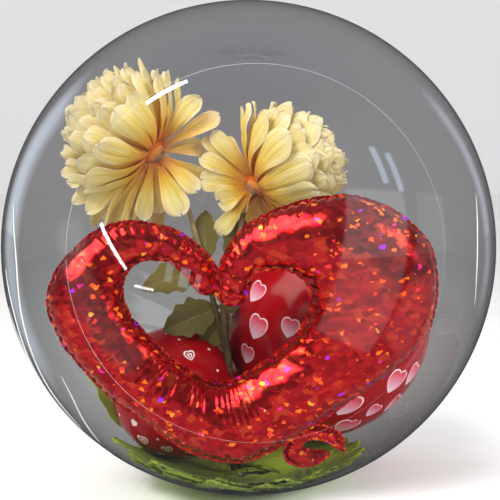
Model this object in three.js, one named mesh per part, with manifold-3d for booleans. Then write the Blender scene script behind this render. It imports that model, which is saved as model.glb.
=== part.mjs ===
// A clear bubble balloon: a sphere of stretched film with a small flat where it rests, gathered at the back
// into a tied neck with a short fanned tail. A band of clear elastic holds the neck shut.
// Millimetres, +Z up, +X right, +Y away from the viewer. The origin is the centre of the rest spot.

import * as THREE from "three";
import { mergeVertices } from "three/addons/utils/BufferGeometryUtils.js";
import Module from "manifold-3d";

// Driving dimensions.
const BUBBLE_DIAMETER = 450;
const REST_SPOT_DIAMETER = 70; // where the film lies flat on a table
const NECK_FROM_DOWN = 60; // degrees that the neck leans back from straight down
const SHOULDER_RADIUS = 58; // where the sphere starts to draw in to the neck
const NECK_STANDS_OUT = 27; // from the sphere's surface to the middle of the band
const WAIST_RADIUS = 9; // the gathered film under the band
const TAIL_LENGTH = 42; // from the band to the cut edge of the film
const TAIL_RADIUS = 22; // the fan's middle radius at its edge
const TAIL_DISH = 7; // how deep the crumpled film's end is dished
const BAND_STRAND = 3.2; // each turn of the elastic, across
const BAND_TURNS = 3;
const BAND_CLEARANCE = 0.4;

// Gathers of the film round the neck.
const PLEATS = 12;
const SHOULDER_PLEAT = 1.6; // how far a gather stands out, on the shoulder
const WAIST_PLEAT = 0.5; // and where the band squeezes it
const TAIL_PLEAT = 6.5; // and at the fan's edge
const TAIL_RUFFLE = 3; // how far the cut edge waves along the neck

// Fineness.
const ROUND_SEGMENTS = 72; // six to a gather
const SPHERE_ROWS = 28;
const SHOULDER_ROWS = 8;
const TAIL_ROWS = 6;
const BAND_SEGMENTS = 40;
const STRAND_SEGMENTS = 6;

const sphereRadius = BUBBLE_DIAMETER / 2;
const restDepth = sphereRadius - Math.sqrt(sphereRadius ** 2 - (REST_SPOT_DIAMETER / 2) ** 2);
const centre = new THREE.Vector3(0, 0, sphereRadius - restDepth);
const neckTilt = THREE.MathUtils.degToRad(NECK_FROM_DOWN);
const neckDirection = new THREE.Vector3(0, Math.sin(neckTilt), -Math.cos(neckTilt));
const waistAt = sphereRadius + NECK_STANDS_OUT; // along the neck, from the sphere's centre
const bandWidth = BAND_TURNS * BAND_STRAND;

const wasm = await Module();
wasm.setup();

function manifoldOf(geometry) {
  const bare = geometry.index ? geometry.toNonIndexed() : geometry.clone();
  bare.deleteAttribute("normal");
  bare.deleteAttribute("uv");
  const merged = mergeVertices(bare, 1e-3);
  const triVerts = new Uint32Array(merged.index.array);
  const vertProperties = merged.attributes.position.array;
  return new wasm.Manifold(new wasm.Mesh({ numProp: 3, vertProperties, triVerts }));
}

function geometryOf(manifold) {
  const { vertProperties, triVerts } = manifold.getMesh();
  const geometry = new THREE.BufferGeometry();
  geometry.setAttribute("position", new THREE.BufferAttribute(new Float32Array(vertProperties), 3));
  geometry.setIndex(new THREE.BufferAttribute(new Uint32Array(triVerts), 1));
  geometry.computeVertexNormals();
  return geometry;
}

// One ring of the film: its radius, its place along the neck, and how far its gathers stand out and wave.
function ring(radius, along, pleat = 0, ruffle = 0) {
  return { radius, along, pleat, ruffle };
}

// The sphere, from the pole opposite the neck to where the shoulder starts.
function sphereRings() {
  const shoulderAngle = Math.asin(SHOULDER_RADIUS / sphereRadius);
  const rings = [];
  for (let i = 0; i < SPHERE_ROWS; i += 1) {
    const angle = Math.PI - ((Math.PI - shoulderAngle) * i) / SPHERE_ROWS;
    const radius = i === 0 ? 0 : sphereRadius * Math.sin(angle);
    rings.push(ring(radius, sphereRadius * Math.cos(angle)));
  }
  return rings;
}

// The shoulder: one smooth bend from the sphere's slope to straight along the neck.
function shoulderRings() {
  const angle = Math.asin(SHOULDER_RADIUS / sphereRadius);
  const start = new THREE.Vector2(SHOULDER_RADIUS, sphereRadius * Math.cos(angle));
  const slope = new THREE.Vector2(-Math.cos(angle), Math.sin(angle));
  const end = new THREE.Vector2(WAIST_RADIUS, waistAt - bandWidth / 2);
  const bend = new THREE.CubicBezierCurve(
    start,
    start.clone().addScaledVector(slope, SHOULDER_RADIUS * 0.55),
    end.clone().sub(new THREE.Vector2(0, NECK_STANDS_OUT * 0.5)),
    end,
  );
  return bend.getPoints(SHOULDER_ROWS).map((point, i) => {
    const share = i / SHOULDER_ROWS;
    const pleat = SHOULDER_PLEAT * Math.sin(Math.PI * share) + WAIST_PLEAT * share;
    return ring(point.x, point.y, pleat);
  });
}

// The fanned tail, out along its outside and in over its dished end to the axis.
function tailRings() {
  const start = waistAt + bandWidth / 2;
  const rings = [];
  for (let i = 0; i <= TAIL_ROWS; i += 1) {
    const share = i / TAIL_ROWS;
    const radius = THREE.MathUtils.lerp(WAIST_RADIUS, TAIL_RADIUS, share ** 1.3);
    const pleat = THREE.MathUtils.lerp(WAIST_PLEAT, TAIL_PLEAT, share);
    rings.push(ring(radius, start + TAIL_LENGTH * share, pleat, TAIL_RUFFLE * share ** 2));
  }
  const halfway = ring(TAIL_RADIUS / 2, start + TAIL_LENGTH - TAIL_DISH / 2, TAIL_PLEAT / 2, TAIL_RUFFLE / 2);
  return [...rings, halfway, ring(0, start + TAIL_LENGTH - TAIL_DISH)];
}

// Turns rings into a closed surface about +Y, with the gathers running along it.
function gatheredGeometry(rings) {
  const profile = rings.map((r) => new THREE.Vector2(r.radius, r.along));
  const geometry = new THREE.LatheGeometry(profile, ROUND_SEGMENTS);
  const position = geometry.attributes.position;
  for (let i = 0; i < position.count; i += 1) {
    const { radius, along, pleat, ruffle } = rings[i % rings.length];
    const turn = (2 * Math.PI * Math.floor(i / rings.length)) / ROUND_SEGMENTS;
    const gathered = radius === 0 ? 0 : radius + pleat * Math.cos(PLEATS * turn);
    const height = along + ruffle * Math.sin((PLEATS / 2) * turn);
    position.setXYZ(i, gathered * Math.sin(turn), height, gathered * Math.cos(turn));
  }
  return geometry;
}

// Stands a shape made about +Y at the sphere's centre on the neck's own direction.
function alongNeck(geometry) {
  const turn = new THREE.Quaternion().setFromUnitVectors(new THREE.Vector3(0, 1, 0), neckDirection);
  return geometry.applyQuaternion(turn).translate(centre.x, centre.y, centre.z);
}

function bubble() {
  const film = alongNeck(gatheredGeometry([...sphereRings(), ...shoulderRings(), ...tailRings()]));
  const under = new THREE.BoxGeometry(BUBBLE_DIAMETER, BUBBLE_DIAMETER, BUBBLE_DIAMETER);
  under.translate(0, 0, -BUBBLE_DIAMETER / 2);
  const clearFilm = new THREE.MeshStandardMaterial({
    color: 0xdfe6ea,
    roughness: 0.03,
    metalness: 0,
    transparent: true,
    opacity: 0.25,
  });
  const mesh = new THREE.Mesh(geometryOf(manifoldOf(film).subtract(manifoldOf(under))), clearFilm);
  mesh.name = "bubble";
  return mesh;
}

// Turns of round elastic side by side, as one band.
function neckBand() {
  const inner = WAIST_RADIUS + WAIST_PLEAT + BAND_CLEARANCE;
  const strand = BAND_STRAND / 2;
  const profile = [];
  for (let turn = 0; turn < BAND_TURNS; turn += 1) {
    const along = waistAt - bandWidth / 2 + BAND_STRAND * (turn + 0.5);
    for (let i = 0; i <= STRAND_SEGMENTS; i += 1) {
      const angle = Math.PI * (i / STRAND_SEGMENTS);
      const squeezed = 0.92 * Math.cos(angle); // neighbouring turns press a little into each other
      profile.push(new THREE.Vector2(inner + strand * (0.6 + Math.sin(angle)), along - strand * squeezed));
    }
  }
  profile.push(new THREE.Vector2(inner, profile.at(-1).y), new THREE.Vector2(inner, profile[0].y), profile[0].clone());
  const elastic = new THREE.MeshStandardMaterial({ color: 0xd9d4c8, roughness: 0.35, metalness: 0 });
  const mesh = new THREE.Mesh(alongNeck(new THREE.LatheGeometry(profile, BAND_SEGMENTS)), elastic);
  mesh.name = "neck_band";
  return mesh;
}

const balloon = new THREE.Group();
balloon.add(bubble(), neckBand());

export default balloon;
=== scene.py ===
"""A clear bubble balloon with silk flowers, a foil heart and two red balloons sealed inside.

Metres, +Z up, +X right, +Y away from the viewer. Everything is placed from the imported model's own box.
"""

import math

import bpy
import numpy as np
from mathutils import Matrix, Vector


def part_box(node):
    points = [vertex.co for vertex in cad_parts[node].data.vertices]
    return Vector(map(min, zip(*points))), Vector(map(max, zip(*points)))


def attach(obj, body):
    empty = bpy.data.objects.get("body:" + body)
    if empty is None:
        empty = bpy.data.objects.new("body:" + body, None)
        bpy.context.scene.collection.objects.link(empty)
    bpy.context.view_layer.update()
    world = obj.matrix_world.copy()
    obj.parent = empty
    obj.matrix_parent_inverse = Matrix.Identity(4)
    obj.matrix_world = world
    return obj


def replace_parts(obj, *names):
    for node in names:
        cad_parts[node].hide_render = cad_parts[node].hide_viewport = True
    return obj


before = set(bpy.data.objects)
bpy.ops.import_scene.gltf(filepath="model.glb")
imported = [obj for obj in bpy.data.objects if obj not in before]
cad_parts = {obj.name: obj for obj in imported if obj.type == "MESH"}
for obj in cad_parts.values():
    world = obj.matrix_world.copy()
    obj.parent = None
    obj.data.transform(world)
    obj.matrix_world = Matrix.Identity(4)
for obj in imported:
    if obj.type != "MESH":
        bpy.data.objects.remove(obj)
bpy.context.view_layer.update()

MM = 0.001
TAU = 2 * math.pi

# The bubble, from its CAD solid.
film_low, film_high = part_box("bubble")
RADIUS = (film_high.x - film_low.x) / 2
CENTRE = np.array([0.0, 0.0, film_high.z - RADIUS])
NECK_FROM_DOWN = math.radians(60)
NECK = np.array([0.0, math.sin(NECK_FROM_DOWN), -math.cos(NECK_FROM_DOWN)])
SHOULDER_RADIUS = 58 * MM
NECK_STANDS_OUT = 27 * MM
BAND_WIDTH = 9.6 * MM
TAIL_LENGTH = 42 * MM
TAIL_RADIUS = 22 * MM
FILM = 0.4 * MM


# ---- small tools


def rng(seed):
    return np.random.default_rng(seed)


def unit(v):
    v = np.asarray(v, float)
    return v / np.linalg.norm(v, axis=-1, keepdims=True)


def smoothstep(low, high, x):
    t = np.clip((np.asarray(x, float) - low) / (high - low), 0, 1)
    return t * t * (3 - 2 * t)


def circle(count):
    """Angles evenly round a circle."""
    return np.linspace(0, TAU, count, endpoint=False)


def distances(path):
    """How far along a path each of its points is."""
    return np.concatenate([[0], np.cumsum(np.linalg.norm(np.diff(path, axis=0), axis=1))])


def at_distances(path, along, want):
    """Points of a path where its distances along are the wanted ones."""
    return np.stack([np.interp(want, along, axis) for axis in path.T], axis=1)


def curve_at(points, places):
    """A smooth curve through the given points, at places counted in points."""
    p = np.asarray(points, float)
    ends = np.vstack([2 * p[0] - p[1], p, 2 * p[-1] - p[-2]])
    i = np.minimum(places.astype(int), len(p) - 2)
    t = (places - i)[:, None]
    a, b, c, d = ends[i], ends[i + 1], ends[i + 2], ends[i + 3]
    return 0.5 * (2 * b + (c - a) * t + (2 * a - 5 * b + 4 * c - d) * t**2 + (3 * b - a - 3 * c + d) * t**3)


def spline(points, count):
    """Evenly spaced points on a smooth curve through the given ones."""
    curve = curve_at(points, np.linspace(0, len(points) - 1, max(count, 20 * len(points))))
    along = distances(curve)
    return at_distances(curve, along, np.linspace(0, along[-1], count))


def bezier(a, b, c, d, t):
    return (1 - t) ** 3 * a + 3 * (1 - t) ** 2 * t * b + 3 * (1 - t) * t * t * c + t**3 * d


def grid_faces(rows, cols, wrap_rows=False, wrap_cols=False):
    """Quads over a rows by cols grid of points."""
    r = np.arange(rows if wrap_rows else rows - 1)
    c = np.arange(cols if wrap_cols else cols - 1)
    rr, cc = np.meshgrid(r, c, indexing="ij")
    r1, c1 = (rr + 1) % rows, (cc + 1) % cols
    return np.stack([rr * cols + cc, rr * cols + c1, r1 * cols + c1, r1 * cols + cc], axis=-1).reshape(-1, 4)


class Shape:
    """Collects points, faces and per-point values for one mesh."""

    def __init__(self):
        self.points, self.faces, self.values, self.count = [], [], [], 0

    def add(self, points, faces, **values):
        points = np.asarray(points, float).reshape(-1, 3)
        self.points.append(points)
        self.faces += [f + self.count for f in faces]
        self.values.append((len(points), values))
        self.count += len(points)

    def make(self, name, material, slot):
        mesh = bpy.data.meshes.new(name)
        points = np.concatenate(self.points)
        faces = np.concatenate([f.ravel() for f in self.faces])
        sizes = np.concatenate([np.full(len(f), f.shape[1]) for f in self.faces])
        mesh.vertices.add(len(points))
        mesh.vertices.foreach_set("co", points.ravel())
        mesh.loops.add(len(faces))
        mesh.loops.foreach_set("vertex_index", faces)
        mesh.polygons.add(len(sizes))
        mesh.polygons.foreach_set("loop_start", np.concatenate([[0], np.cumsum(sizes)[:-1]]))
        mesh.polygons.foreach_set("loop_total", sizes)
        mesh.polygons.foreach_set("use_smooth", np.full(len(sizes), True))
        for key in sorted({k for _, values in self.values for k in values}):
            parts = [np.broadcast_to(values.get(key, 0.0), (n,)) for n, values in self.values]
            mesh.attributes.new(key, "FLOAT", "POINT").data.foreach_set("value", np.concatenate(parts).astype(float))
        mesh.update(calc_edges=True)
        mesh.validate()
        mesh.materials.append(material)
        piece = bpy.data.objects.new(name, mesh)
        bpy.context.scene.collection.objects.link(piece)
        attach(piece, "root")
        return piece


def grid_normals(grid, wrap_rows=False, wrap_cols=False):
    """A unit normal at each point of a (rows, cols, 3) grid."""

    def slope(axis, wrap):
        if wrap:
            return np.roll(grid, -1, axis) - np.roll(grid, 1, axis)
        return np.gradient(grid, axis=axis)

    n = np.cross(slope(0, wrap_rows), slope(1, wrap_cols))
    return n / np.maximum(np.linalg.norm(n, axis=-1, keepdims=True), 1e-12)


def add_sheet(shape, grid, thickness, **values):
    """Adds a thin closed sheet made from a (rows, cols, 3) grid of its middle surface."""
    rows, cols = grid.shape[:2]
    offset = grid_normals(grid) * thickness / 2
    top = grid_faces(rows, cols)
    n = rows * cols
    ring = np.concatenate([
        np.arange(cols),
        np.arange(2, rows + 1) * cols - 1,
        np.arange(n - 2, n - cols - 1, -1),
        np.arange(rows - 2, 0, -1) * cols,
    ])
    # The edge has points of its own, so that the faces shade flat right up to it.
    above, below = (grid + offset).reshape(-1, 3), (grid - offset).reshape(-1, 3)
    points = np.concatenate([above, below, above[ring], below[ring]])
    k = np.arange(len(ring)) + 2 * n
    after = np.roll(k, -1)
    rim = np.stack([after, k, k + len(ring), after + len(ring)], axis=1)
    spread = {key: np.broadcast_to(v, (rows, cols)).ravel() for key, v in values.items()}
    spread = {key: np.concatenate([v, v, v[ring], v[ring]]) for key, v in spread.items()}
    shape.add(points, [top, top[:, ::-1] + n, rim], **spread)


def add_rings(shape, rings, ends, flip=False, **values):
    """Adds a closed skin over a (rows, cols, 3) grid of rings, with a fan of faces to a point at each end."""
    rows, cols = rings.shape[:2]
    n, k = rows * cols, np.arange(cols)
    k1 = (k + 1) % cols
    faces = [grid_faces(rows, cols, wrap_cols=True), np.stack([np.full(cols, n), k1, k], axis=1),
             np.stack([np.full(cols, n + 1), n - cols + k, n - cols + k1], axis=1)]
    if flip:
        faces = [f[:, ::-1] for f in faces]
    shape.add(np.concatenate([rings.reshape(-1, 3), ends]), faces, **values)


def add_tube(shape, path, radii, sides=12, **values):
    """Adds a round closed tube along a path, its ends rounded off to a point."""
    path = np.asarray(path, float)
    radii = np.broadcast_to(radii, (len(path),))
    tangents = unit(np.gradient(path, axis=0))
    side = unit(np.cross(tangents[0], [0.31, 0.17, 0.93]))
    rings = []
    for point, tangent, radius in zip(path, tangents, radii):
        side = unit(side - tangent * (side @ tangent))
        up = np.cross(tangent, side)
        turn = circle(sides)[:, None]
        rings.append(point + radius * (np.cos(turn) * side + np.sin(turn) * up))
    ends = [path[0] - tangents[0] * radii[0] * 0.6, path[-1] + tangents[-1] * radii[-1] * 0.6]
    add_rings(shape, np.array(rings), ends, **values)


# ---- materials


class Nodes:
    """A material's node tree, with short ways to add to it."""

    def __init__(self, name):
        self.material = bpy.data.materials.new(name)
        self.material.use_nodes = True
        self.tree = self.material.node_tree
        self.shader = self.tree.nodes["Principled BSDF"]
        self.output = self.tree.nodes["Material Output"]

    def plain(self, **values):
        for key, value in values.items():
            self.shader.inputs[key.replace("_", " ")].default_value = value

    def new(self, kind, inputs=(), **settings):
        """A node. inputs is (which input, a value or another node's output) pairs."""
        node = self.tree.nodes.new("ShaderNode" + kind)
        for key, value in settings.items():
            setattr(node, key, value)
        for which, source in inputs:
            if source is not None:
                self.link(source, node.inputs[which])
        return node

    def link(self, source, target):
        if isinstance(source, (int, float, tuple)):
            target.default_value = source
        else:
            self.tree.links.new(source, target)

    def math(self, operation, a, b=0.0, c=0.5, clamp=False):
        return self.new("Math", enumerate((a, b, c)), operation=operation, use_clamp=clamp).outputs[0]

    def times(self, a, b):
        return self.math("MULTIPLY", a, b)

    def plus(self, a, b):
        return self.math("ADD", a, b)

    def larger(self, a, b):
        return self.math("MAXIMUM", a, b)

    def vector(self, operation, a, b=None, scale=None):
        node = self.new("VectorMath", [(0, a), (1, b), ("Scale", scale)], operation=operation)
        return node.outputs["Value"] if operation in ("DOT_PRODUCT", "LENGTH") else node.outputs[0]

    def split(self, vector):
        """A vector's three parts."""
        return tuple(self.new("SeparateXYZ", [(0, vector)]).outputs)

    def place(self):
        return self.new("TexCoord").outputs["Object"]

    def value(self, name):
        return self.new("Attribute", attribute_name=name).outputs["Fac"]

    def noise(self, scale, detail=3.0, vector=None, roughness=0.5):
        inputs = [("Vector", vector or self.place()), ("Scale", scale), ("Detail", detail), ("Roughness", roughness)]
        return self.new("TexNoise", inputs).outputs["Fac"]

    def ramp(self, factor, stops, interpolation="LINEAR"):
        node = self.new("ValToRGB", [("Fac", factor)])
        ramp = node.color_ramp
        ramp.interpolation = interpolation
        while len(ramp.elements) < len(stops):
            ramp.elements.new(1.0)
        for element, (at, colour) in zip(ramp.elements, stops):
            element.position = at
            element.color = (*colour, 1.0)
        return node.outputs["Color"]

    def grey_ramp(self, factor, *stops):
        """A ramp of greys, from (place, level) stops."""
        return self.ramp(factor, [(at, (level,) * 3) for at, level in stops])

    def mix(self, factor, a, b, blend="MIX"):
        a, b = [(*colour, 1.0) if isinstance(colour, tuple) else colour for colour in (a, b)]
        return self.new("Mix", [(0, factor), (6, a), (7, b)], data_type="RGBA", blend_type=blend).outputs[2]

    def bump(self, height, distance, strength=1.0, normal=None):
        inputs = [("Height", height), ("Distance", distance), ("Strength", strength), ("Normal", normal)]
        return self.new("Bump", inputs).outputs["Normal"]

    def set(self, name, source):
        self.link(source, self.shader.inputs[name])

    def grain(self, scale, detail, distance, strength):
        """Fine relief over the whole surface."""
        self.set("Normal", self.bump(self.noise(scale, detail), distance, strength))


def film_material():
    n = Nodes("clear_film")
    n.plain(Base_Color=(0.955, 0.963, 0.968, 1), Roughness=0.0, IOR=1.48, Transmission_Weight=1.0)
    n.grain(5.0, 1.0, 0.6 * MM, 0.35)
    return n.material


def foil_material():
    """Red holographic foil: small flat facets that lean their own ways, and finer bright flecks here and there that
    glow faintly, a painted glow.
    """
    n = Nodes("holographic_foil")
    turned = n.new("Mapping", [("Vector", n.place()), ("Scale", (1.0, 1.0, 1.4)), ("Rotation", (0.3, 0.6, 0.2))])
    facets, flecks = [n.new("TexVoronoi", [("Vector", turned.outputs[0]), ("Scale", scale)], distance=distance)
                      for scale, distance in ((150.0, "CHEBYCHEV"), (250.0, "MANHATTAN"))]
    facet, fleck = [n.new("SeparateColor", [(0, cells.outputs["Color"])]) for cells in (facets, flecks)]
    reds = n.ramp(facet.outputs["Green"], [
        (0.0, (0.72, 0.008, 0.014)), (0.3, (0.86, 0.02, 0.02)), (0.55, (0.56, 0.003, 0.008)),
        (0.74, (0.97, 0.07, 0.028)), (0.9, (0.66, 0.006, 0.03)),
    ], "CONSTANT")
    fleck_colour_and_glow = n.ramp(fleck.outputs["Red"], [
        (0.0, (1.0, 0.1, 0.006)), (0.36, (1.0, 0.19, 0.01)), (0.66, (0.95, 0.03, 0.03)),
        (0.8, (0.85, 0.01, 0.26)), (0.89, (0.42, 0.015, 0.75)), (0.95, (1.0, 0.4, 0.03)),
    ], "CONSTANT")
    chosen = n.math("GREATER_THAN", n.plus(fleck.outputs["Blue"], n.times(n.noise(9.0, 2.0), 0.2)), 1.05)
    n.set("Base Color", n.mix(chosen, reds, fleck_colour_and_glow))
    n.set("Metallic", n.math("SUBTRACT", 1.0, n.times(chosen, 0.5)))
    n.plain(Roughness=0.17, Coat_Weight=0.35, Coat_Roughness=0.06)
    lean = n.vector("SCALE", n.vector("SUBTRACT", facets.outputs["Color"], (0.5, 0.5, 0.5)), scale=0.1)
    leaning = n.vector("NORMALIZE", n.vector("ADD", n.new("NewGeometry").outputs["Normal"], lean))
    n.set("Normal", n.bump(n.noise(40.0, 3.0), 1.0 * MM, 0.18, leaning))
    # The flecks glow faintly in their own colours: a painted glow, though they are no lamp.
    n.set("Emission Color", fleck_colour_and_glow)
    n.set("Emission Strength", n.times(chosen, 0.16))
    return n.material


def heart_inside(n, x, y, scale=1.0):
    """1 inside a heart of that size about the origin, point down, and 0 outside."""
    x, y = n.times(x, 1.08 / scale), n.times(y, 1.0 / scale)
    xx, yy = n.times(x, x), n.times(y, y)
    ring = n.math("SUBTRACT", n.plus(xx, yy), 1.0)
    return n.math("LESS_THAN", n.times(n.times(ring, ring), ring), n.times(n.times(xx, yy), y))


def latex(n):
    """Stretched red latex, a little thinner and lighter in places."""
    n.plain(Roughness=0.2, Specular_IOR_Level=0.28, Coat_Weight=0.1, Coat_Roughness=0.06)
    n.grain(900.0, 2.0, 0.05 * MM, 0.25)
    return n.mix(n.noise(18.0, 2.0), (0.27, 0.0, 0.003), (0.38, 0.001, 0.006))


def large_latex_material():
    """Hearts with a white outline round the lobes and a fill that pales towards the tip."""
    n = Nodes("latex_large_hearts")
    x, y, _ = n.split(n.new("UVMap", uv_map="print").outputs[0])
    outer = heart_inside(n, x, y)
    inner = heart_inside(n, x, n.plus(y, 0.02), 0.91)
    fade = n.math("MULTIPLY_ADD", y, -0.5, 0.42, clamp=True)
    fill = n.ramp(fade, [(0.0, (0.64, 0.05, 0.09)), (0.4, (0.74, 0.26, 0.34)), (0.95, (0.86, 0.66, 0.73))])
    outline = n.mix(fade, (0.88, 0.62, 0.66), (0.86, 0.66, 0.73))
    n.set("Base Color", n.mix(outer, latex(n), n.mix(inner, outline, fill)))
    return n.material


def small_latex_material():
    """Small white hearts, some outlined round a smaller one, some plain, and dots."""
    n = Nodes("latex_small_hearts")
    x, y, _ = n.split(n.new("UVMap", uv_map="print").outputs[0])
    outline = n.math("SUBTRACT", heart_inside(n, x, y), heart_inside(n, x, y, 0.74))
    core = n.math("SUBTRACT", heart_inside(n, x, y, 0.48), heart_inside(n, x, y, 0.22))
    dot = n.math("LESS_THAN", n.plus(n.times(x, x), n.times(y, y)), 0.09)
    ink = 0.0
    for kind, mark in enumerate((n.larger(outline, core), heart_inside(n, x, y, 0.72), dot)):
        ink = n.larger(ink, n.times(n.math("COMPARE", n.value("kind"), float(kind), 0.3), mark))
    n.set("Base Color", n.mix(ink, latex(n), (0.86, 0.74, 0.72)))
    return n.material


def petal_material():
    """Pale yellow silk: orange at the root, cream at the edges, with fine streaks running along it, paler and deeper,
    partly the silk's own and partly painted light and shade of its fine wrinkles.
    """
    n = Nodes("petal_silk")
    along, across, tone = n.value("along"), n.value("across"), n.value("tone")
    colour = n.ramp(along, [
        (0.0, (0.95, 0.2, 0.0)), (0.15, (1.0, 0.36, 0.004)), (0.32, (1.0, 0.6, 0.03)),
        (0.5, (1.0, 0.77, 0.14)), (0.76, (1.0, 0.87, 0.3)), (0.96, (1.0, 0.91, 0.5)),
    ])
    # Each petal's tone mix towards peach tan is partly random and partly painted shade: the lower skirt layers, the
    # petals behind and the back of the disc heart get more of it.
    shaded = n.mix(tone, colour, n.mix(0.6, colour, (0.95, 0.5, 0.16)))
    place = n.new("CombineXYZ", enumerate((n.plus(n.times(across, 4.5), n.times(tone, 90.0)), n.times(along, 1.6))))
    streaks = n.noise(1.4, 4.0, place.outputs[0], 0.6)
    # Pale streaks on the wrinkles' ridges and deeper ones in their hollows: partly the silk's own streaks, partly
    # painted light and shade.
    soft = n.mix(n.grey_ramp(streaks, (0.5, 0), (0.66, 0.7)), shaded, (1.0, 0.95, 0.56))
    soft = n.mix(n.grey_ramp(streaks, (0.34, 0.75), (0.48, 0)), soft, (0.97, 0.68, 0.07))
    rim = n.larger(n.math("POWER", n.math("ABSOLUTE", across), 7.0), n.math("POWER", along, 16.0))
    soft = n.mix(n.times(rim, n.grey_ramp(along, (0.35, 0), (0.7, 0.7))), soft, (1.0, 0.93, 0.74))
    n.set("Base Color", soft)
    n.plain(Roughness=0.65, Specular_IOR_Level=0.25)
    height = n.plus(n.times(streaks, 3.0), n.times(n.noise(2600.0, 2.0), 0.5))
    n.set("Normal", n.bump(height, 0.9 * MM, 0.8))
    thin = n.new("BsdfTranslucent", [("Color", soft)])
    blend = n.new("MixShader", enumerate((0.4, n.shader.outputs[0], thin.outputs[0])))
    n.link(blend.outputs[0], n.output.inputs["Surface"])
    return n.material


def leaf_material(name, dark, light, vein):
    """Green silk with paler veins that branch from the midrib."""
    n = Nodes(name)
    along, across = n.value("along"), n.value("across")
    aside = n.math("ABSOLUTE", across)
    branch = n.math("SINE", n.times(n.math("SUBTRACT", along, n.times(aside, 0.32)), 58.0))
    branches = n.math("POWER", n.larger(branch, 0.0), 10.0)
    midrib = n.math("SUBTRACT", 1.0, n.times(aside, 16.0), clamp=True)
    veins = n.larger(n.times(branches, 0.55), midrib)
    n.set("Base Color", n.mix(n.times(veins, 0.6), n.mix(n.noise(24.0, 4.0), dark, light), vein))
    n.plain(Roughness=0.5, Sheen_Weight=0.1)
    n.set("Normal", n.bump(n.plus(veins, n.times(n.noise(1500.0, 2.0), 0.4)), 0.4 * MM, 0.6))
    return n.material


def stem_material():
    """Dark brown low down, tan near the flowers."""
    n = Nodes("stem_green")
    height = n.grey_ramp(n.times(n.split(n.place())[2], 2.0), (0.34, 0), (0.5, 1))
    streaks = n.noise(60.0, 4.0)
    lower = n.ramp(streaks, [(0.3, (0.04, 0.025, 0.01)), (0.55, (0.09, 0.06, 0.02)), (0.8, (0.16, 0.11, 0.05))])
    upper = n.ramp(streaks, [(0.3, (0.2, 0.12, 0.045)), (0.8, (0.36, 0.25, 0.12))])
    n.set("Base Color", n.mix(height, lower, upper))
    n.plain(Roughness=0.55)
    n.grain(420.0, 3.0, 0.3 * MM, 0.6)
    return n.material


def milky_material(name, patches, low, high, grain, **values):
    """Plastic that lets only some light through: the whitish creases of the film, whose whiteness is painted highlight,
    and the elastic.
    """
    n = Nodes(name)
    n.set("Base Color", n.ramp(n.noise(patches, 2.0), [(0.3, low), (0.7, high)]))
    n.plain(**values)
    n.grain(grain, 2.0, 0.1 * MM, 0.4)
    return n.material


# ---- the film


def about_neck(radius, along, turn):
    """Points from a radius, a place along the neck and a turn round it, from the bubble's centre."""
    side = np.array([1.0, 0.0, 0.0])
    up = np.cross(NECK, side)
    radius, along, turn = np.broadcast_arrays(radius, along, turn)
    return (CENTRE + along[..., None] * NECK
            + radius[..., None] * (np.cos(turn)[..., None] * side + np.sin(turn)[..., None] * up))


def make_film(material):
    """The film as a closed double wall: the ball, its gathered neck and its fanned tail, all pleated."""
    turns = circle(288)
    random = rng(11)
    waist = RADIUS + NECK_STANDS_OUT
    shoulder = math.asin(SHOULDER_RADIUS / RADIUS)
    angles = np.linspace(math.pi - 0.012, shoulder, 118)
    rows = [(RADIUS * math.sin(a), RADIUS * math.cos(a), 0.9 * MM * float(smoothstep(0.95, shoulder, a)), 0.0)
            for a in angles]
    start = np.array([SHOULDER_RADIUS, RADIUS * math.cos(shoulder)])
    slope = np.array([-math.cos(shoulder), math.sin(shoulder)])
    waist_radius = 6.6 * MM
    end = np.array([waist_radius, waist - BAND_WIDTH / 2])
    b, c = start + slope * SHOULDER_RADIUS * 0.55, end - [0, NECK_STANDS_OUT * 0.5]
    for s in np.linspace(0, 1, 22)[1:]:
        rows.append((*bezier(start, b, c, end, s), (0.9 + 1.9 * s) * MM, 0.0))
    for s in (0.5, 1.0):
        rows.append((waist_radius, waist - BAND_WIDTH / 2 + BAND_WIDTH * s, 2.6 * MM, 0.0))
    for s in np.linspace(0, 1, 18)[1:]:
        rows.append((waist_radius + (TAIL_RADIUS - waist_radius) * s**1.2, waist + BAND_WIDTH / 2 + TAIL_LENGTH * s,
                     (2.6 + 3.6 * s) * MM, 2.6 * MM * s * s))
    radius, along, pleat, ruffle = np.array(rows).T[:, :, None]
    wander = sum(a * np.sin(k * turns + p) for k, a, p in zip((2, 3, 5), (0.5, 0.35, 0.2), random.uniform(0, TAU, 3)))
    folds = 1 - 2 * np.abs(np.sin(9 * turns + wander)) ** 0.8 + 0.35 * np.sin(31 * turns + 2 * wander)
    outer = about_neck(radius + pleat * folds, along + ruffle * np.sin(5 * turns + 3 * wander), turns)
    inward = -grid_normals(outer, wrap_cols=True)
    if inward[10, 0] @ (CENTRE - outer[10, 0]) < 0:
        inward = -inward
    inner = outer + inward * FILM
    outer[..., 2] = np.maximum(outer[..., 2], 0.0)
    inner[..., 2] = np.maximum(inner[..., 2], FILM)
    count, cols = outer.shape[:2]
    n, edge, k = count * cols, (count - 1) * cols, np.arange(cols)
    k1 = (k + 1) % cols
    poles = [CENTRE - NECK * RADIUS, CENTRE - NECK * (RADIUS - FILM)]
    points = np.concatenate([outer.reshape(-1, 3), inner.reshape(-1, 3), poles])
    skin = grid_faces(count, cols, wrap_cols=True)
    rim = np.stack([edge + k, edge + k1, edge + n + k1, edge + n + k], axis=1)
    caps = np.concatenate([np.stack([np.full(cols, 2 * n), k1, k], axis=1),
                           np.stack([np.full(cols, 2 * n + 1), n + k, n + k1], axis=1)])
    shape = Shape()
    shape.add(points, [skin, skin[:, ::-1] + n, rim, caps])
    film = shape.make("bubble_film", material, "film")
    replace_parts(film, "bubble")
    film.visible_shadow = film.visible_diffuse = False


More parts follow.
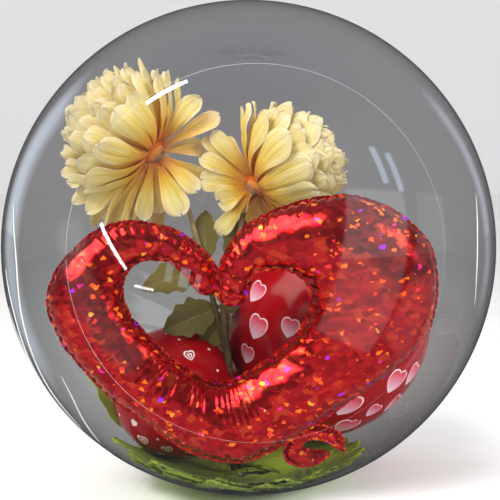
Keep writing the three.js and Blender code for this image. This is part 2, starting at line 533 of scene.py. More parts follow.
def way_of(azimuth, elevation):
    """Unit directions: azimuth 0 faces the viewer and grows to the right, elevation is above the level."""
    a, e = np.radians(azimuth), np.radians(elevation)
    return np.stack([np.sin(a) * np.cos(e), -np.cos(a) * np.cos(e), np.sin(e)], axis=-1)


def make_film_lines(material):
    """The film's taut creases near its left side, and the fine ring where it was moulded."""
    shape = Shape()
    aim = unit([0.038, -1.0, 0.048])
    side = unit(np.cross(aim, [0, 0, 1]))
    up = np.cross(side, aim)
    turn = circle(219)[:, None]
    spread = math.radians(41.5)
    ring = CENTRE + (RADIUS + 0.12 * MM) * (
        math.cos(spread) * aim + math.sin(spread) * (np.cos(turn) * side + np.sin(turn) * up))
    add_tube(shape, ring, (0.055 + 0.035 * np.cos(turn[:, 0] - 0.9)) * MM, 6)
    creases = [
        ((-64, 12), (-59, 0), (-60, -14), (-62, -30), (-60, -42), 0.5),
        ((-68, -3), (-66, -14), (-68, -30), (-66, -44), (-60, -52), 0.55),
        ((-49, -25), (-49, -31), (-51, -37), (-53, -42), (-55, -46), 0.4),
        ((-72, -12), (-70, -24), (-71, -35), (-69, -45), (-65, -53), 0.35),
        ((60, 14), (58, 8), (57, 2), (57, -4), (58, -10), 0.3),
    ]
    for *turns, width in creases:
        path = spline(np.array(turns, float), 46)
        taper = np.sin(np.linspace(0.05, math.pi - 0.05, len(path))) ** 0.7
        add_tube(shape, CENTRE + way_of(*path.T) * (RADIUS + 0.1 * MM), 1.5 * width * MM * taper, 6)
    lines = shape.make("film_lines", material, "film")
    lines.visible_shadow = lines.visible_diffuse = False


def make_band(material):
    """Three turns of round elastic side by side."""
    shape = Shape()
    waist = RADIUS + NECK_STANDS_OUT
    turns, sides = circle(72), circle(12)
    for k in range(3):
        middle = waist + (k - 1) * BAND_WIDTH / 3
        sway = 0.5 * MM * np.sin(turns * 2 + k * 1.7)
        along = middle + sway[:, None] + 1.5 * MM * np.sin(sides)
        points = about_neck((11.0 + 1.5 * np.cos(sides)) * MM, along, turns[:, None])
        shape.add(points, [grid_faces(len(turns), len(sides), True, True)[:, ::-1]])
    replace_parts(shape.make("neck_band_turns", material, "elastic"), "neck_band")


# ---- the foil heart


def pucker(phase, away, reach, random):
    """How deep a foil seam's gathers are at a place along the seam and away from it, from 0 to about 1."""
    k = np.floor(phase).astype(int)
    within = np.abs(phase - k - 0.5)
    count = k.max() + 2
    depth, length = random.uniform(0.45, 1.0, count), random.uniform(0.5, 1.7, count)
    valley = (1 - 2 * within) ** 1.5
    return depth[k] * valley * np.exp(-((away / (reach * length[k])) ** 2))


def foil_tube(shape, outer, inner, layer, reach, bulge, pitch, depth, flange, seed, rows, sides=76):
    """Adds a puffed foil tube between two seam lines, both (x, z) about the bubble's centre.

    layer is the seams' y along the tube and reach how far the outer and inner gathers run in from their seams.
    """
    random = rng(seed)
    fine = np.linspace(0, len(outer) - 1, 4000)
    a, b = curve_at(outer, fine), curve_at(inner, fine)
    along = distances((a + b) / 2)
    want = np.linspace(0, along[-1], rows)
    a, b = at_distances(a, along, want), at_distances(b, along, want)
    share = want / along[-1]
    y, reach_out, reach_in = [np.interp(share, np.linspace(0, 1, len(v)), v) for v in (layer, *reach)]
    lengths = distances(a), distances(b)
    middle, across = (a + b) / 2, (a - b) / 2
    half = np.linalg.norm(across, axis=1)
    ends = np.minimum(want / half[0], (along[-1] - want) / half[-1])
    across = across * np.sqrt(1 - (1 - np.clip(ends, 0.012, 1)) ** 2)[:, None]
    width = np.linalg.norm(across, axis=1)
    thick = bulge * np.tanh(width / bulge * 0.86)
    turn = circle(sides)
    cos, sin = np.cos(turn), np.sin(turn)
    x, z = [middle[:, k, None] + across[:, k, None] * cos for k in (0, 1)]
    grid = np.stack([x, y[:, None] - thick[:, None] * np.sign(sin) * np.abs(sin) ** 0.92, z], axis=-1)
    gathered = 0
    for line, sign, scale, far in ((lengths[0], 1, 1.0, reach_out), (lengths[1], -1, 1.2, reach_in)):
        phase = (line / pitch + 0.25 * np.sin(line / pitch * 0.37 + seed))[:, None] + 0 * cos
        away = np.arccos(np.clip(sign * cos, -1, 1)) * (width + thick)[:, None] / 2
        gathered = gathered + scale * pucker(phase, away, far[:, None], random)
    out = grid_normals(grid, wrap_cols=True)
    if out[rows // 2, sides // 4] @ [0, -1, 0] < 0:
        out = -out
    waves = sum(amp * np.sin(want[:, None] / MM * f + g * turn + p) for amp, f, g, p in
                zip((0.5, 0.35, 0.25), (0.07, 0.13, 0.24), (2, 3, 5), random.uniform(0, TAU, 3)))
    size = np.minimum(1, width / (14 * MM))[:, None]
    grid = grid - out * (depth * gathered * size + 0.7 * MM * waves * size)[..., None]
    flip = np.cross(grid[1, 0] - grid[0, 0], grid[0, 1] - grid[0, 0]) @ out[0, 0] < 0
    add_rings(shape, CENTRE + grid, [CENTRE + grid[0].mean(0), CENTRE + grid[-1].mean(0)], flip)
    # The flat sealed edge outside each seam, waved by the gathers.
    for column, line, sign in ((0, lengths[0], 1), (sides // 2, lengths[1], -1)):
        seam = grid[:, column]
        outward = unit(np.stack([across[:, 0], 0 * y, across[:, 1]], axis=1)) * sign
        phase = line / pitch + 0.25 * np.sin(line / pitch * 0.37 + seed)
        scallop = np.abs(np.sin(math.pi * phase)) ** 0.7
        lift = np.array([0, 0.4 * MM, 0]) * np.sin(TAU * phase)[:, None]
        fade = np.clip(ends * half / (6 * MM), 0.1, 1)
        edge = seam + outward * (flange * (0.45 + 0.55 * scallop) * fade)[:, None] + lift
        add_sheet(shape, CENTRE + np.stack([seam - outward * 1.2 * MM, (seam + edge) / 2, edge], axis=1), 0.3 * MM)


def make_heart(material):
    """An open heart: one puffed tube whose rounded ends meet at the cleft. Seam pairs run from the left end round."""
    outer = [(-20, -29), (-25, -18), (-32, -5), (-42, 6), (-57, 17), (-77, 25), (-101, 28), (-124, 23), (-147, 7),
             (-165, -16), (-171, -43), (-161, -70), (-142, -96), (-121, -118), (-95, -137), (-69, -157), (-40, -173),
             (-6, -177), (30, -162), (56, -146), (84, -126), (113, -104), (139, -82), (155, -56), (159, -25), (154, 4),
             (137, 27), (114, 43), (87, 51), (60, 50), (34, 43), (7, 31), (-10, 18), (-20, 2), (-25, -13), (-26, -27),
             (-28, -40)]
    inner = [(-40, -39), (-45, -29), (-51, -20), (-58, -13), (-66, -7), (-76, -3), (-88, -3), (-98, -7), (-105, -15),
             (-108, -26), (-108, -38), (-103, -50), (-91, -64), (-77, -78), (-63, -91), (-48, -101), (-34, -108),
             (-19, -109), (-4, -103), (11, -93), (25, -83), (37, -72), (46, -60), (52, -47), (53, -35), (51, -25),
             (45, -17), (38, -13), (30, -11), (22, -10), (14, -10), (7, -12), (2, -16), (-1, -21), (-1, -26), (-2, -32),
             (-4, -44)]
    layer = np.array([-80, -84, -88, -92, -92, -92, -96, -100, -103, -105]) * MM
    shape = Shape()
    foil_tube(shape, np.array(outer) * MM, np.array(inner) * MM, layer, bulge=42 * MM, pitch=8.6 * MM, depth=2.6 * MM,
              reach=(np.array([12] * 4 + [14, 16, 20, 30, 42, 48, 44, 20, 12] + [10] * 4 + [12] * 4) * MM,
                     np.array([12, 14, 20, 14, 10, 10, 14, 30, 24, 14]) * MM), flange=3.2 * MM, seed=5, rows=1080)
    shape.make("foil_heart", material, "foil")


def make_foil_tail(material):
    """The foil's loose tail, curled into a small crinkled loop with a pointed end."""
    turn = np.radians(np.linspace(-22, 325, 15))
    swell = np.array([0.1, 0.55, 0.85] + [1.0] * 7 + [0.95, 0.85, 0.7, 0.5, 0.3])
    low = np.maximum(0, -np.sin(turn))
    middle = np.stack([19 * np.cos(turn) + 9 * (turn < -0.2) - 8 * low, 12.5 * np.sin(turn)], axis=1)
    across = np.stack([6.5 * np.cos(turn), 5.5 * np.sin(turn)], axis=1) * (swell * (1 + 0.8 * low))[:, None]
    spot = np.array([60, -169])
    layer = np.linspace(-78, -62, 8) * MM
    shape = Shape()
    foil_tube(shape, (spot + middle + across) * MM, (spot + middle - across) * MM, layer, bulge=7 * MM, pitch=3.8 * MM,
              depth=1.7 * MM, reach=([8 * MM], [6 * MM]), flange=2.2 * MM, seed=9, rows=420, sides=40)
    shape.make("foil_tail", material, "foil")


# ---- latex balloons


def make_latex(name, centre, radius, knot_way, hearts, material, seed):
    """A latex balloon with its knot. hearts is (unit directions, heart sizes, tilts, kinds) for its print."""
    knot_way = unit(knot_way)
    side = unit(np.cross(knot_way, [0.2, 0.1, 1.0]))
    up = np.cross(knot_way, side)
    polar = np.linspace(0.02, math.pi - 0.09, 96)
    swell = 1 + 0.12 * smoothstep(1.7, 3.05, polar)
    profile = [(radius * s * math.sin(p), -radius * s * math.cos(p)) for p, s in zip(polar, swell)]
    reach = profile[-1][1]
    # Radius and distance from the neck's root, in millimetres: the neck, the knot and the rolled lip.
    neck = [(5.2, 3), (3.8, 6), (3.1, 8.5), (4.6, 9.6), (6.0, 11), (6.3, 12.8), (5.2, 14.4), (3.4, 15.2),
            (3.0, 16.4), (4.2, 19), (6.2, 22), (8.2, 24.5), (8.8, 25.4), (8.2, 25.8), (6.6, 25.0), (4.4, 23.0),
            (2.0, 21.0), (0.3, 20.4)]
    profile = np.array(profile + [(r * MM, reach + a * MM) for r, a in neck])
    turns = circle(144)
    r, along = profile[:, :1], profile[:, 1:]
    r = r * (1 + 0.06 * np.sin(5 * turns) * smoothstep(reach, reach + 20 * MM, along))
    ring = np.cos(turns)[:, None] * side + np.sin(turns)[:, None] * up
    grid = centre + along[..., None] * knot_way + r[..., None] * ring
    probe = grid[40, 0]
    flip = np.cross(grid[41, 0] - probe, grid[40, 1] - probe) @ (probe - centre) < 0
    shape = Shape()
    add_rings(shape, CENTRE + grid, [CENTRE + grid[0].mean(0), CENTRE + grid[-1].mean(0)], flip)
    mesh = shape.make(name, material, "latex").data
    ways, sizes, tilts, kinds = hearts

    def read(collection, field, width=1, kind=int):
        data = np.zeros(len(collection) * width, kind)
        collection.foreach_get(field, data)
        return data

    corners = read(mesh.loops, "vertex_index")
    places = read(mesh.vertices, "co", 3, float).reshape(-1, 3) - CENTRE - centre
    starts, totals = read(mesh.polygons, "loop_start"), read(mesh.polygons, "loop_total")
    middles = np.add.reduceat(places[corners], starts) / totals[:, None]
    nearest = np.argmax(unit(middles) @ ways.T, axis=1)
    own = np.repeat(nearest, totals)
    upright = np.array([0.0, 0.0, 1.0])
    right = unit(np.cross(upright, ways) * -1.0)
    above = np.cross(right, ways) * -1.0
    above = np.where((above @ upright)[:, None] < 0, -above, above)
    cos, sin = np.cos(tilts)[:, None], np.sin(tilts)[:, None]
    x_way, y_way = cos * right + sin * above, cos * above - sin * right
    at = places[corners] - ways[own] * radius
    uv = np.stack([np.sum(at * way[own], axis=1) / sizes[own] for way in (x_way, y_way)], axis=1)
    mesh.uv_layers.new(name="print").data.foreach_set("uv", uv.ravel())
    mesh.attributes.new("kind", "FLOAT", "FACE").data.foreach_set("value", kinds[nearest].astype(float))


def scattered_ways(first, spacing, tries, seed):
    """Directions at least spacing radians apart, starting with the given ones."""
    random, kept = rng(seed), list(first)
    for way in unit(random.normal(size=(tries, 3))):
        if all(way @ k < math.cos(spacing) for k in kept):
            kept.append(way)
    return np.array(kept)


def make_latex_pair():
    """The two latex balloons with their prints: the first hearts are placed, the rest scattered."""
    random = rng(21)
    first = way_of([-47.5, -43, -68, -23, -51, 42, 59, 10, 35, 17, 58, 59],
                   [21, 2.5, 10, 4, -12.5, -28, -26, -41, -47.5, -61, -46, -70])
    ways = scattered_ways(first, 0.36, 3000, 22)
    sizes = random.uniform(7.6, 10.4, len(ways))
    sizes[:12] = [9.4, 10.6, 8.2, 8.4, 8.4, 12, 11, 13, 8, 12.5, 10.5, 11]
    tilts = np.radians(random.uniform(10, 30, len(ways)))
    hearts = (ways, sizes * MM, tilts, np.zeros(len(ways)))
    make_latex("latex_balloon_large", np.array([76, 55, -78]) * MM, 101 * MM, (-0.35, 0.15, -0.92), hearts,
               large_latex_material(), 1)
    ways = scattered_ways(way_of([-40], [-20]), 0.27, 5000, 23)
    kinds = random.choice([0, 1, 2, 2], len(ways))
    sizes = np.where(kinds == 0, 5.0, np.where(kinds == 1, 4.4, 4.2)) * random.uniform(0.85, 1.15, len(ways)) * MM
    hearts = (ways, sizes, np.radians(random.uniform(-25, 40, len(ways))), kinds)
    make_latex("latex_balloon_small", np.array([-67, 5, -136]) * MM, 61 * MM, (0.45, 0.6, -0.66), hearts,
               small_latex_material(), 2)


# ---- flowers and leaves


def petal_grid(root, start_lean, tip, tip_lean, width, cup, notch, random, rows=18, cols=11):
    """A petal in its own frame: x out from the flower's axis, y across, z along the axis. Leans are from the axis."""
    s = np.concatenate([np.linspace(0, 0.78, rows - 6)[:-1], 0.78 + 0.22 * np.sin(np.linspace(0, math.pi / 2, 7))])
    aside, jag = random.uniform(-1, 1, 2)
    p0, p3 = np.array(root, float), np.array(tip, float)
    chord = np.linalg.norm(p3 - p0)
    p1 = p0 + 0.42 * chord * np.array([math.sin(start_lean), math.cos(start_lean)])
    p2 = p3 - 0.36 * chord * np.array([math.sin(tip_lean), math.cos(tip_lean)])
    t, v = s[:, None], np.linspace(-1, 1, cols)
    line = bezier(p0, p1, p2, p3, t)
    ahead = unit(3 * (1 - t) ** 2 * (p1 - p0) + 6 * (1 - t) * t * (p2 - p1) + 3 * t * t * (p3 - p2))
    inward = np.stack([-ahead[:, 1], ahead[:, 0]], axis=1)
    end = np.clip((t - 0.8) / 0.2, 0, 1)
    broad = width / 2 * (0.26 + 0.74 * smoothstep(0.0, 0.84, t)) * np.sqrt(1 - 0.985 * end**2.4)
    wave = random.uniform(0, TAU)
    ribs = 0.035 * width * (np.sin(3.4 * v + wave) + 0.55 * np.sin(9.5 * v + 2 * wave))
    edge = 0.09 * width * np.sin(9 * t + wave) * (v * np.abs(v))
    lift = cup * broad * (v**2) + (ribs + edge) * smoothstep(0.2, 0.8, t)
    lift = lift + 0.12 * width * aside * (end**2)
    shift = 0.045 * width * np.cos(2 * wave + (5 + 2 * jag) * v) - notch * width * (1 - np.abs(v)) ** 2
    shift = shift * end**2
    x = line[:, :1] + lift * inward[:, :1] + shift * ahead[:, :1]
    z = line[:, 1:] + lift * inward[:, 1:] + shift * ahead[:, 1:]
    return np.stack([x, broad * v, z], axis=-1), t, v


def frame_along(axis, toward=(0.0, -1.0, 0.0)):
    """Axes as columns: z along the axis and x as near to toward as it can be."""
    z = unit(axis)
    x = unit(toward - z * (z @ toward))
    return np.stack([x, np.cross(z, x), z], axis=1)


LEFT_STRAYS = [
    ((27, -12, -57), 22, 0.1), ((43, -4, -39), 19, 0.25), ((46, 12, -27), 20, 0.4), ((41, 14, 2), 14, 1.0),
    ((60, 8, 33), 21, 0.75), ((47, -2, 53), 17, 0.15), ((38, -6, 50), 17, 0.1), ((5, 4, -62), 18, 0.35),
    ((-10, -8, -64), 18, 0.2), ((-24, 2, -64), 14, 0.3), ((-36, -6, -66), 16, 0.2), ((-48, 4, -62), 14, 0.35),
    ((-60, -10, -55), 15, 0.1), ((-72, -8, -45), 15, 0.12), ((-82, -6, -33), 15, 0.06), ((-85, 0, -20), 15, 0.05),
]
RIGHT_STRAYS = [
    ((-59, 6, 36), 12, 0.2), ((-51, 2, 43), 12, 0.3), ((-42, -4, 51), 16, 0.1), ((-54, -2, 26), 17, 0.15),
    ((-50, -8, 6), 22, 0.1), ((-39, -12, -15), 26, 0.15), ((-25, -4, -20), 20, 0.3), ((-37, -14, -44), 16, 0.1),
    ((-17, 4, -26), 14, 1.0), ((-30, 6, 44), 15, 0.4),
]
BALL_RADIUS, BALL_HEIGHT = 59, 31
DOME = [
    # petals, how far round the ball the tips are, width, tip radius as a share of the ball's
    (5, 8, 15, 0.82), (7, 21, 18, 0.9), (10, 34, 20, 0.97), (12, 46, 22, 1.0), (14, 58, 23, 1.04), (15, 70, 24, 1.07),
    (16, 82, 24, 1.1), (14, 95, 23, 1.12),
]
SKIRT = [
    # petals, tip out from the axis, tip along it, lean at the root, lean at the tip, width
    (13, 88, 6, 86, 90, 21), (12, 88, -12, 92, 106, 21), (9, 76, -34, 96, 132, 20),
]


def make_mum(name, root, axis, skirt_axis, material, seed, scale, wide, press, bare, strays):
    """A silk chrysanthemum: an incurved dome of strap petals over discs whose outer petals spread and hang.

    press lays the petals nearest the viewer against the dome, and bare is the side where the discs' own petals make
    room for the strays, (tip from the root, width, tone with painted shade), which show their faces to the viewer.
    Petals lower in the skirt get more painted shade.
    """
    random, shape, root = rng(seed), Shape(), np.array(root) * MM

    def add(basis, turn, start, start_lean, tip, tip_lean, width, cup, tone):
        jitter = random.normal(0, 1, 7)
        tip = (tip[0] * (1 + 0.04 * jitter[0]), tip[1] + 1.8 * jitter[1])
        grid, s, v = petal_grid(
            np.array(start) * scale * MM, math.radians(start_lean + 5 * jitter[2]), np.array(tip) * scale * MM,
            math.radians(tip_lean + 7 * jitter[3]), width * MM * (1 + 0.07 * jitter[4]),
            cup * (1 + 0.2 * jitter[5]), random.choice([0.0, 0.05, 0.1]), random)
        twist = math.radians(6 * jitter[6])
        grid[..., 2] += grid[..., 1] * math.sin(twist)
        c, w = math.cos(turn), math.sin(turn)
        x, y = grid[..., 0].copy(), grid[..., 1].copy()
        grid[..., 0], grid[..., 1] = c * x - w * y, w * x + c * y
        add_sheet(shape, CENTRE + root + grid @ basis.T, 0.3 * MM, along=s, across=v, tone=tone)

    basis = frame_along(axis)
    for k, (count, polar, width, share) in enumerate(DOME):
        start, height = random.uniform(0, TAU), 15 - 2.1 * k
        for i in range(count):
            turn = start + TAU * (i + random.uniform(-0.2, 0.2)) / count
            p = math.radians(polar * (1 - press * max(0.0, math.cos(turn))))
            tip = (BALL_RADIUS * share * math.sin(p), BALL_HEIGHT + BALL_RADIUS * share * math.cos(p))
            straight = math.degrees(math.atan2(tip[0] - 3, tip[1] - height))
            add(basis, turn, (3 + 1.4 * k, height), max(straight + 22, 12 * k), tip, straight - 26, width * wide, 0.24,
                random.uniform(0, 0.12) + 0.012 * k)
    basis = frame_along(skirt_axis)
    for k, (count, out, along, start_lean, tip_lean, width) in enumerate(SKIRT):
        start = random.uniform(0, TAU)
        for i in range(count):
            turn = start + TAU * (i + random.uniform(-0.2, 0.2)) / count
            if math.cos(turn) < 0.3 and basis @ [math.cos(turn), math.sin(turn), 0] @ bare < 0.45:
                # Lower skirt layers get more painted shade.
                add(basis, turn, (12, -1 - 2 * k), start_lean, (out, along), tip_lean, width * wide, 0.14,
                    0.1 + 0.15 * k + random.uniform(0, 0.2))
    for tip, width, tone in strays:
        tip = np.array(tip, float) / scale
        basis = frame_along((random.uniform(-0.2, 0.2), -1, random.uniform(0, 0.4)), tip)
        out, _, along = tip @ basis
        lean = math.degrees(math.atan2(out, along))
        add(basis, 0, (10, -1), lean - 14, (out, along), lean + 16, width, 0.1, tone)
    # The heart of the discs, where the petals are gathered, and a tube behind it in full tone, a painted tan shade.
    basis = frame_along(skirt_axis)
    for places, radii, tone in (([-2.4, -2, -0.8, 0.6, 2, 4, 20], [6, 9.5, 11.4, 11.8, 10.5, 6, 3], 0.0),
                                ([-6.5, -6.2, -5.2, -3.6, -1.5], [2, 4, 6.5, 9, 10], 1.0)):
        path = CENTRE + root + np.outer(places, basis[:, 2]) * scale * MM
        add_tube(shape, path, np.array(radii) * scale * MM, 28, along=0.0, tone=tone)
    shape.make(name, material, "petal")


def add_leaf(shape, root, way, normal, length, width, droop, seed, lobes=4.0, rows=30, cols=13):
    """A broad toothed leaf from its root, folded a little along the midrib and drooping to its tip."""
    random = rng(seed)
    up, side, way = frame_along(way, normal).T
    side = -side
    s, v = np.linspace(0, 1, rows), np.linspace(-1, 1, cols)
    outline = np.sin(math.pi * np.clip(s, 0, 1) ** 0.75) ** 0.75
    teeth = 1 + 0.13 * np.sin(TAU * lobes * s - 0.6) * smoothstep(0.05, 0.3, s) * (1 - s**3)
    broad = np.maximum(width / 2 * outline * teeth, 0.6 * MM)
    angle = np.radians(droop) * s**1.4
    x, z = [np.concatenate([[0], np.cumsum(f(angle[1:]) * length / (rows - 1))]) for f in (np.cos, np.sin)]
    x, z, s, broad = x[:, None], -z[:, None], s[:, None], broad[:, None]
    fold = 0.22 * np.abs(v) * broad
    wave = 0.05 * width * np.sin(9 * s + 5 * random.uniform(0, 1)) * (v * np.abs(v))
    veins = 0.35 * MM * np.cos(58 * (s - 0.32 * np.abs(v))) * (1 - np.abs(v) ** 4)
    sweep = 0.12 * broad * np.abs(v)
    grid = (root + (x + sweep)[..., None] * way + (broad * v)[..., None] * side
            + (z + fold + wave + veins)[..., None] * up)
    add_sheet(shape, CENTRE + grid, 0.35 * MM, along=s, across=v)


def add_leaves(shape, leaves):
    """Adds leaves given as (root from the bubble's centre, way, normal, length, width, droop, seed), in mm."""
    for root, way, normal, length, width, droop, seed in leaves:
        add_leaf(shape, np.array(root) * MM, way, normal, length * MM, width * MM, droop, seed)


LEFT_MUM, RIGHT_MUM = (-88, 0, 88), (8, 8, 57)


def make_greens():
    """The two stems with the cups under the flowers, and the stems' own leaves."""
    shape = Shape()
    left = [(-75, 5, 78), (-67, 12, 64), (-61, 9, 48), (-55, 3, 32), (-46, -6, 4), (-34, -12, -42), (-25, -16, -78),
            (-19, -18, -106), (-15, -15, -165), (-14, -6, -208)]
    right = [(0, 13, 44), (-4, 12, 34), (-10, 0, 8), (-20, -13, -30), (-23, -17, -60), (-18, -19, -106),
             (-13, -14, -165), (-8, 2, -208)]
    bumps = (1 + 0.05 * np.sin(np.arange(120) * 1.3)) * np.linspace(0.75, 1.15, 120)
    for path, radius in ((left, 2.7), (right, 3.3)):
        add_tube(shape, CENTRE + spline(np.array(path) * MM, len(bumps)), radius * MM * bumps, 12)
    for root, axis in ((LEFT_MUM, (-0.75, -0.3, 0.58)), (RIGHT_MUM, (0.5, -0.3, 0.8))):
        basis = frame_along(axis)
        t = np.linspace(0, 1, 12)
        cup = CENTRE + np.array(root) * MM + np.outer(-17 + 15 * t, basis[:, 2]) * MM
        add_tube(shape, cup, (2.4 + 3.2 * t**0.7) * MM, 14)
        for k in range(7):
            a = TAU * k / 7
            way = basis @ np.array([math.cos(a), math.sin(a), 0.25])
            add_leaf(shape, np.array(root) * MM - basis[:, 2] * 4 * MM, way, basis[:, 2], 9 * MM, 5 * MM, 10, 60 + k,
                     lobes=1.0, rows=9, cols=5)
    shape.make("flower_stems", stem_material(), "stem")

    olive = leaf_material("leaf_olive", (0.06, 0.05, 0.008), (0.17, 0.13, 0.025), (0.26, 0.2, 0.06))
    shape = Shape()
    add_leaves(shape, (
        ((-31, -12, -56), (-0.86, -0.25, -0.3), (0.1, -1, 0.35), 52, 34, 30, 1),
        ((-41, -9, -20), (-0.93, -0.1, -0.2), (0, -0.9, 0.5), 62, 32, 28, 2),
        ((-38, -6, -10), (-0.1, 0.2, 0.9), (-0.3, -1, 0), 48, 26, 26, 3),
        ((-19, -8, -10), (0.35, 0.3, 0.7), (0.2, -1, 0.1), 46, 26, 30, 4),
        ((-18, -12, -60), (-0.55, -0.1, -0.7), (0, -1, 0.1), 44, 24, 12, 5),
        ((-16, -8, -60), (-0.3, 0.9, 0.2), (0, 0.2, 1), 60, 34, 40, 6),
        ((-22, -8, -30), (-0.5, 0.8, 0.2), (0, 0.2, 1), 66, 36, 45, 7),
        ((-18, -6, -40), (0.4, 0.85, 0.2), (0, 0.2, 1), 60, 34, 45, 8),
    ))
    shape.make("stem_leaves", olive, "leaf")


def make_bed():
    """Broad silk leaves laid round the bottom of the bubble, against the film."""
    bright = leaf_material("leaf_bright", (0.2, 0.33, 0.006), (0.44, 0.56, 0.03), (0.54, 0.64, 0.1))
    random, shape = rng(31), Shape()
    rows, cols = 34, 17
    s, v = np.linspace(0, 1, rows)[:, None], np.linspace(-1, 1, cols)[None, :]
    floor = -CENTRE[2] + FILM
    for i in range(36):
        turn = TAU * (i * 0.618 + 0.02 * random.normal())
        layer = (2.4 + 1.1 * (i % 6)) * MM
        start = math.radians(random.uniform(2, 12))
        lower = 10 * max(0.0, math.sin(turn)) + 13 * max(0.0, math.cos(turn + 0.9)) ** 2
        reach = math.radians(random.uniform(30, 36.5) - lower)
        width = random.uniform(52, 74) * MM
        outline = np.sin(math.pi * s**0.72) ** 0.7 * (1 + 0.08 * np.sin(TAU * 3.5 * s + i))
        broad = np.maximum(width / 2 * outline, 0.8 * MM)
        polar = start + (reach - start) * s + 0 * v
        fan = broad * v / (RADIUS * np.maximum(np.sin(polar), 0.12))
        depth = layer + MM * (
            np.cos(v * 2) + 0.9 * np.cos(70 * (s - 0.3 * np.abs(v))) + 0.8 * np.sin(23 * s + 9 * v + i))
        depth = np.maximum(depth, 0.4 * MM)
        r, a = RADIUS - FILM - 1.6 * MM - depth, turn + fan
        points = np.stack([r * np.sin(polar) * np.cos(a), r * np.sin(polar) * np.sin(a), -r * np.cos(polar)], axis=-1)
        points[..., 2] = np.maximum(points[..., 2], floor + 1.0 * MM + depth)
        add_sheet(shape, CENTRE + points, 0.35 * MM, along=s, across=v)
    add_leaves(shape, (
        ((-100, 45, -179), (-0.51, 0.12, 0.95), (0.6, -0.7, 0), 104, 46, 14, 41),
        ((-116, 3, -171), (-0.5, 0.34, 0.9), (0.8, -0.5, 0), 90, 40, 14, 42),
    ))
    shape.make("leaf_bed", bright, "leaf")


# ---- stage


def area_light(name, at, size, energy, colour=(1, 1, 1), size_y=None):
    """A lamp aimed at the bubble that reflections don't show."""
    data = bpy.data.lights.new(name, "AREA")
    data.shape = "RECTANGLE"
    data.size, data.size_y = size, size_y or size
    data.energy, data.color = energy, colour
    light = bpy.data.objects.new(name, data)
    bpy.context.scene.collection.objects.link(light)
    light.location = at
    light.visible_glossy = light.visible_transmission = False
    light.rotation_euler = (Vector(CENTRE) - Vector(at)).to_track_quat("-Z", "Y").to_euler()


# Panels that only reflections show: direction, roll, width, height, edge softness, colour.
ON_FILM = [
    ((-0.464, -0.038, 0.885), 0, 2.6, 15.5, 0.5, (40, 40, 40)),
    ((-0.878, -0.476, 0.04), -42, 1.8, 22, 0.5, (34, 34, 34)),
    ((-0.708, -0.67, -0.223), 12, 9.4, 1.4, 0.5, (26, 26, 26)),
    ((0.80, -0.28, 0.53), 8, 4.0, 15, 1.0, (2.6, 3.2, 4.0)),
    ((0.86, -0.19, 0.46), 8, 4.0, 15, 1.0, (2.3, 2.9, 3.7)),
    ((-0.56, -0.82, -0.11), 14, 4.0, 9, 0.7, (2.6, 3.2, 4.0)),
    ((-0.46, -0.875, -0.15), 14, 5.0, 9, 0.7, (3.0, 3.6, 4.4)),
    ((-0.37, -0.91, -0.19), 14, 3.0, 8, 0.7, (2.3, 2.9, 3.7)),
    ((0.82, -0.56, -0.1), 12, 34, 62, 2.0, (1.15, 1.12, 1.15)),
    ((0.99, -0.08, -0.15), 16, 20, 54, 2.0, (0.4, 0.4, 0.43)),
    ((-0.93, -0.2, -0.3), -20, 22, 60, 6.0, (0.6, 0.64, 0.68)),
    ((-0.68, 0.73, 0.02), 0, 26, 60, 10.0, (1.0, 1.15, 1.35)),
    ((0.66, 0.75, 0.12), 0, 14, 44, 8.0, (0.7, 0.76, 0.95)),
]
INSIDE = [
    ((-0.55, -0.44, 0.7), 20, 60, 42, 6.0, (6.4, 5.8, 5.4)),
    ((0.75, -0.45, 0.48), 0, 24, 34, 5.0, (1.6, 1.65, 1.75)),
    ((-0.7, -0.7, -0.1), 0, 26, 30, 6.0, (0.9, 0.9, 0.95)),
]
# Painted shade: how much darker the plain floor is coloured where it is seen through the film than past it.
FLOOR_SHADE_THROUGH_FILM = 0.66


def seen_by(n):
    """1 for what is seen straight through the film, for what is mirrored at all, and for what its front mirrors."""
    path = n.new("LightPath")
    mirrored = n.math("GREATER_THAN", path.outputs["Glossy Depth"], 0.5)
    straight = n.times(path.outputs["Is Transmission Ray"], n.math("SUBTRACT", 1.0, mirrored))
    # A mirrored ray from inside the bubble has crossed four faces of film, and one from its front two at most.
    front = n.math("LESS_THAN", path.outputs["Transmission Depth"], 2.5)
    return straight, mirrored, n.times(mirrored, front)


def make_stage():
    """The pale floor, the world and two lamps."""
    bpy.ops.mesh.primitive_plane_add(size=16, location=(0, 0, 0))
    floor = bpy.context.active_object
    floor.name = "floor"
    n = Nodes("pale_floor")
    tint = n.ramp(n.noise(3.0, 3.0), [(0.3, (0.80, 0.80, 0.79)), (0.7, (0.83, 0.83, 0.82))])
    # Painted shade: the floor's colour is dimmer through the film, darker in what is mirrored and all but dark in what
    # the film's front mirrors, as the backdrop is.
    straight, mirrored, on_film = seen_by(n)
    dark = n.larger(n.times(straight, FLOOR_SHADE_THROUGH_FILM), n.times(mirrored, 0.6))
    dark = n.larger(dark, n.times(on_film, 0.95))
    n.set("Base Color", n.mix(dark, tint, (0.0, 0.0, 0.0)))
    n.plain(Roughness=0.9, Specular_IOR_Level=0.1)
    floor.data.materials.append(n.material)
    floor.visible_glossy = False
    make_world()
    area_light("key", (-0.9, -1.5, 1.9), 0.9, 56)
    area_light("fill", (1.6, -0.9, 1.1), 0.7, 20, (0.95, 0.97, 1.0), size_y=1.1)


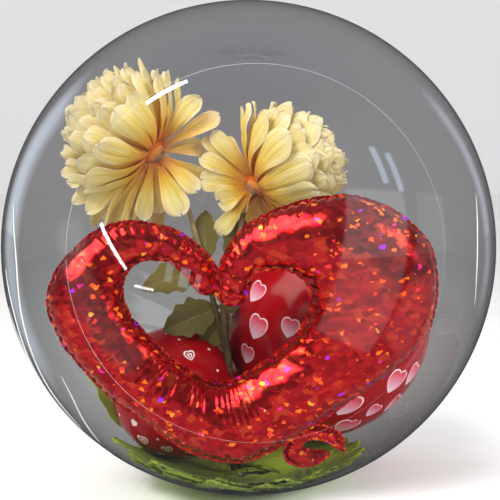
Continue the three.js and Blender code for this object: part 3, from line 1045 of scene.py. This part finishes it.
def world_window(n, way, centre, roll, wide, high, soft, colour):
    """A soft-edged bright panel seen in one direction from the scene. Its angles are in degrees."""
    basis = frame_along(centre, (0, 0, 1))
    c, r = math.cos(math.radians(roll)), math.sin(math.radians(roll))
    across = tuple(c * basis[:, 1] + r * basis[:, 0])
    up = tuple(c * basis[:, 0] - r * basis[:, 1])
    ahead = n.vector("DOT_PRODUCT", way, tuple(basis[:, 2]))
    mask = n.math("GREATER_THAN", ahead, 0.05)
    for direction, size in ((across, wide), (up, high)):
        reach = n.math("ABSOLUTE", n.math("DIVIDE", n.vector("DOT_PRODUCT", way, direction), ahead))
        edge = n.math("SUBTRACT", math.tan(math.radians(size / 2)), reach)
        mask = n.times(mask, n.math("DIVIDE", edge, math.radians(soft), clamp=True))
    return n.mix(mask, (0.0, 0.0, 0.0), colour)


def make_world():
    """A pale studio for what is seen straight or through the film, and a dimmer one with windows in reflections."""
    world = bpy.data.worlds.new("pale_studio")
    bpy.context.scene.world = world
    world.use_nodes = True
    n = Nodes.__new__(Nodes)
    n.tree = world.node_tree
    background = n.tree.nodes["Background"]
    way = n.new("TexCoord").outputs["Generated"]
    _, _, height = n.split(way)
    pale = n.ramp(height, [(0.0, (0.86, 0.865, 0.87)), (0.9, (1.05, 1.05, 1.05))])
    clouded = n.ramp(height, [(0.0, (0.305, 0.302, 0.312)), (0.3, (0.23, 0.215, 0.25)), (0.9, (0.19, 0.18, 0.21))])
    up = n.math("MULTIPLY_ADD", height, 0.5, 0.5)
    rooms = []
    for windows, low, high in ((ON_FILM, (0.06, 0.06, 0.07), (0.2, 0.2, 0.22)),
                               (INSIDE, (0.2, 0.19, 0.19), (0.34, 0.33, 0.33))):
        room = n.ramp(up, [(0.3, low), (1.0, high)])
        for window in windows:
            room = n.mix(1.0, room, world_window(n, way, *window), "ADD")
        rooms.append(room)
    straight, mirrored, on_film = seen_by(n)
    rooms = n.mix(on_film, rooms[1], rooms[0])
    n.link(n.mix(mirrored, n.mix(straight, pale, clouded), rooms), background.inputs["Color"])
    background.inputs["Strength"].default_value = 0.85
    world.cycles.sampling_method = "MANUAL"
    world.cycles.sample_map_resolution = 128


def make_camera():
    """A camera a little above the bubble's level, framed as the photo is."""
    data = bpy.data.cameras.new("camera")
    data.sensor_width, data.lens = 36.0, 85.4
    camera = bpy.data.objects.new("camera", data)
    bpy.context.scene.collection.objects.link(camera)
    tilt, distance = math.radians(4.5), 1.1
    away = Vector((0, -math.cos(tilt), math.sin(tilt)))
    camera.location = Vector(CENTRE) + away * distance
    camera.rotation_euler = (-away).to_track_quat("-Z", "Y").to_euler()
    data.shift_x, data.shift_y = 0.003, -0.0052
    data.clip_start, data.clip_end = 0.05, 40
    bpy.context.scene.camera = camera


# ---- all together

make_camera()
make_stage()
bpy.context.scene.view_settings.view_transform = "Standard"
bpy.context.scene.cycles.caustics_reflective = False

clear = film_material()
make_film(clear)
# The creases are ridges of film; their whitish colour is painted highlight.
make_film_lines(milky_material("film_crease", 40.0, (0.86, 0.88, 0.9), (0.97, 0.98, 1.0), 300.0, Roughness=0.12,
                               Transmission_Weight=0.45, IOR=1.48))
make_band(milky_material("clear_elastic", 120.0, (0.72, 0.7, 0.62), (0.84, 0.82, 0.76), 700.0, Roughness=0.3,
                         Transmission_Weight=0.35, IOR=1.5))
foil = foil_material()
make_heart(foil)
make_foil_tail(foil)
make_latex_pair()
silk = petal_material()
make_mum("mum_left", LEFT_MUM, (-0.84, 0.1, 0.53), (-0.78, 0.2, 0.62), silk, 51, 1.02, 1.05, 0.1,
         (0.8, 0, 0.6), LEFT_STRAYS)
make_mum("mum_right", RIGHT_MUM, (0.84, 0.05, 0.46), (0.6, 0.35, 0.72), silk, 52, 1.0, 1.2, 0.18,
         (-0.95, 0, 0.3), RIGHT_STRAYS)
make_greens()
make_bed()
